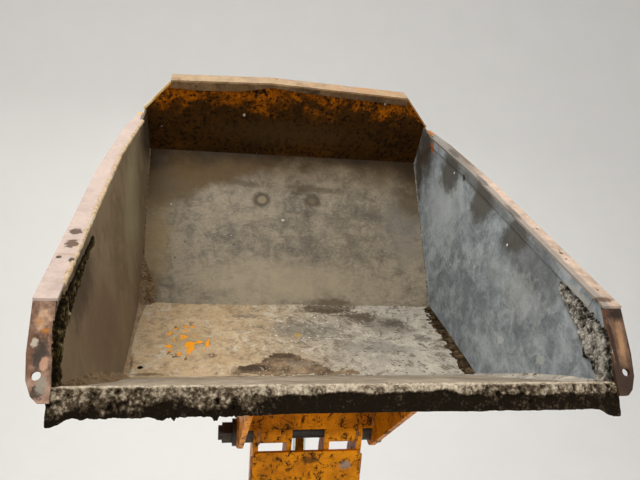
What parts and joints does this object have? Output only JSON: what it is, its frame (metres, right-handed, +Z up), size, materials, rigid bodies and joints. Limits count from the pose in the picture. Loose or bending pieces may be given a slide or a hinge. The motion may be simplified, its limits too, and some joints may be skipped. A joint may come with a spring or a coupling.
{
  "type": "high-tip dumper skip",
  "caption": "Open steel skip of a high-tip site dumper on its carrier and lift arm, tipped by a hydraulic ram to pour out loose material.",
  "frame": {"origin": "centre of the lift arm's foot bore", "axes": "+X to the right seen from behind the open side's back panel towards -Y, -Y forward (the way the skip pours), +Z up with the skip raised"},
  "size_m": [1.05, 0.9923, 1.8928],
  "materials": {
    "skip_steel": "worn bare steel with dust and dried mortar",
    "guard_paint": "faded orange paint, rubbed and rusty",
    "rim_steel": "rubbed steel edge with rust",
    "carrier_paint": "chipped yellow enamel",
    "pin_steel": "greased steel",
    "ram_paint": "black enamel",
    "ram_chrome": "hard chrome",
    "pad_rubber": "matt rubber"
  },
  "bodies": {
    "arm": {"arm_foot_tube": "carrier_paint", "arm_front_plate": "carrier_paint", "arm_head_bosses": "carrier_paint", "arm_head_webs": "carrier_paint", "arm_rear_plate": "carrier_paint", "arm_side_plate_left": "carrier_paint", "arm_side_plate_right": "carrier_paint", "lift_ram_lugs": "carrier_paint", "ram_foot_lugs": "carrier_paint", "ram_foot_pin": "pin_steel"},
    "skip": {"pivot_collars": "pin_steel", "pivot_nut": "pin_steel", "pivot_pin": "pin_steel", "pivot_washers": "pin_steel", "rest_pad_bosses": "carrier_paint", "rest_pads": "pad_rubber", "rod_pin_heads": "pin_steel", "skip_back_plate": "skip_steel", "skip_ears": "rim_steel", "skip_edge_bar": "rim_steel", "skip_floor_plate": "skip_steel", "skip_front_beam": "carrier_paint", "skip_guard_plate": "guard_paint", "skip_gussets": "carrier_paint", "skip_lip_bar": "rim_steel", "skip_lip_plate": "skip_steel", "skip_rear_beam": "carrier_paint", "skip_rim_left": "rim_steel", "skip_rim_leg_left": "rim_steel", "skip_rim_leg_right": "rim_steel", "skip_rim_right": "rim_steel", "skip_rim_top": "rim_steel", "skip_rod_lugs": "carrier_paint", "skip_side_left": "skip_steel", "skip_side_right": "skip_steel", "skip_wing_strips": "rim_steel"},
    "barrel": {"tip_ram_barrel": "ram_paint", "tip_ram_foot_eye": "ram_paint", "tip_ram_gland": "ram_paint", "tip_ram_ports": "ram_paint"},
    "rod": {"tip_ram_rod": "ram_chrome", "tip_ram_rod_eye": "ram_paint", "tip_ram_rod_pin": "pin_steel"}
  },
  "joints": [
    {"name": "skip_tip", "type": "hinge", "parent": "arm", "child": "skip", "pos_m": [0, -0.39905, 0.75051], "axis": [1, 0, 0], "range_deg": [-40, 50]},
    {"name": "ram_swing", "type": "hinge", "parent": "arm", "child": "barrel", "pos_m": [0, -0.10412, 0.22778], "axis": [1, 0, 0], "range_deg": [-4, 4]},
    {"name": "ram_slide", "type": "slide", "parent": "barrel", "child": "rod", "axis": [0, -0.3088, 0.9511], "range_m": [-0.08, 0.1]}
  ],
  "couplings": [
    {"joint": "ram_swing", "follows": "skip_tip", "ratio": 0.0369},
    {"joint": "ram_slide", "follows": "skip_tip", "m_per_rad": 0.108}
  ]
}
